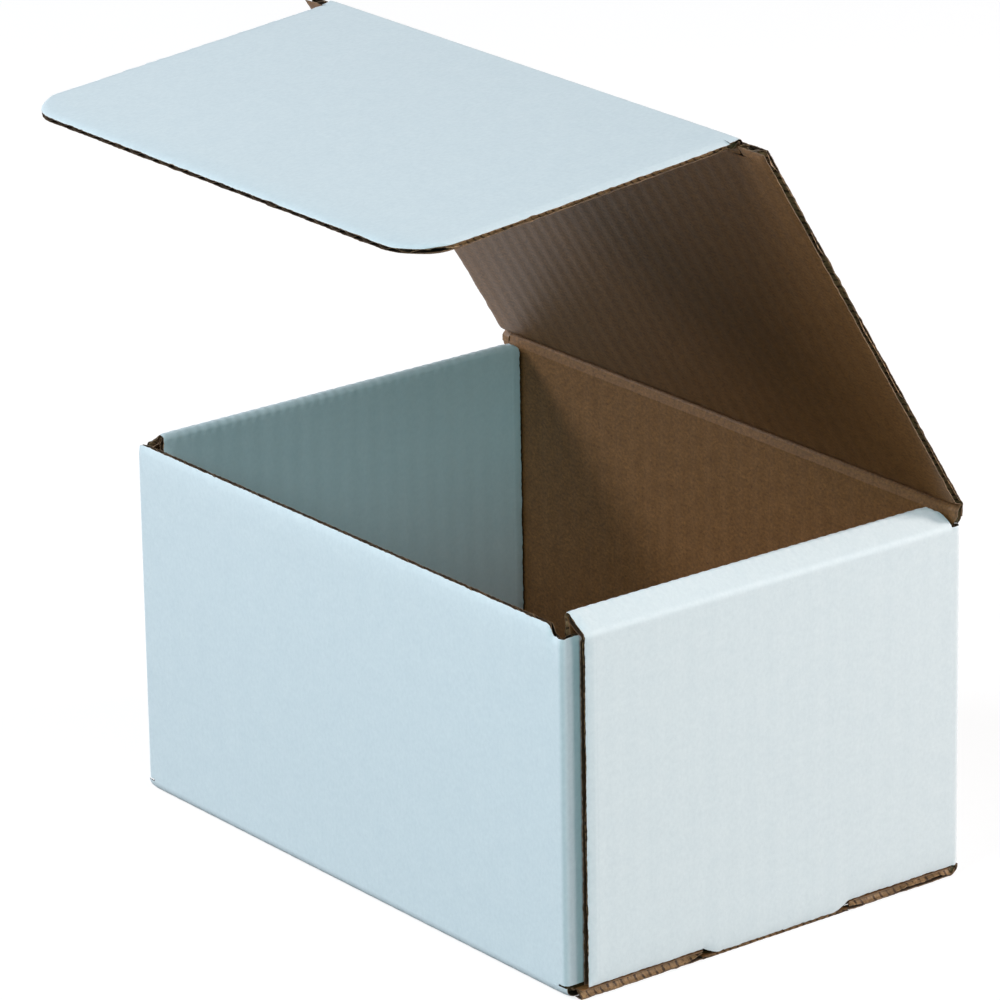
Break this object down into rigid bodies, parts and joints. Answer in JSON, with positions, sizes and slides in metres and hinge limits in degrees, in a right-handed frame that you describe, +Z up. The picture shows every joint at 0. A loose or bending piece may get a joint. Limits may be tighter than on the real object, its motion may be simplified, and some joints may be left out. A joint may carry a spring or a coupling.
{
  "type": "corrugated mailer box",
  "caption": "Corrugated mailer box with roll-over end walls, a hinged lid and a deep tuck flap, standing open, white outside and kraft inside.",
  "frame": {"origin": "middle of the underside, on the surface that the box stands on", "axes": "+X along the front wall, +Y from the front wall to the back wall, +Z up"},
  "size_m": [0.1974, 0.1724, 0.2199],
  "materials": {
    "corrugated_board": "matt white liner outside, plain kraft liner inside, raw fluted edges"
  },
  "bodies": {
    "tray": {"tray": "corrugated_board"},
    "lid": {"lid": "corrugated_board"},
    "tuck_flap": {"tuck_flap": "corrugated_board"}
  },
  "joints": [
    {"name": "lid_hinge", "type": "hinge", "parent": "tray", "child": "lid", "pos_m": [0, 0.0656, 0.1073], "axis": [-1, 0, 0], "range_deg": [-52.8, 121.2]},
    {"name": "tuck_hinge", "type": "hinge", "parent": "lid", "child": "tuck_flap", "pos_m": [0, -0.00174, 0.2185], "axis": [1, 0, 0], "range_deg": [-64.2, 55.8]}
  ]
}
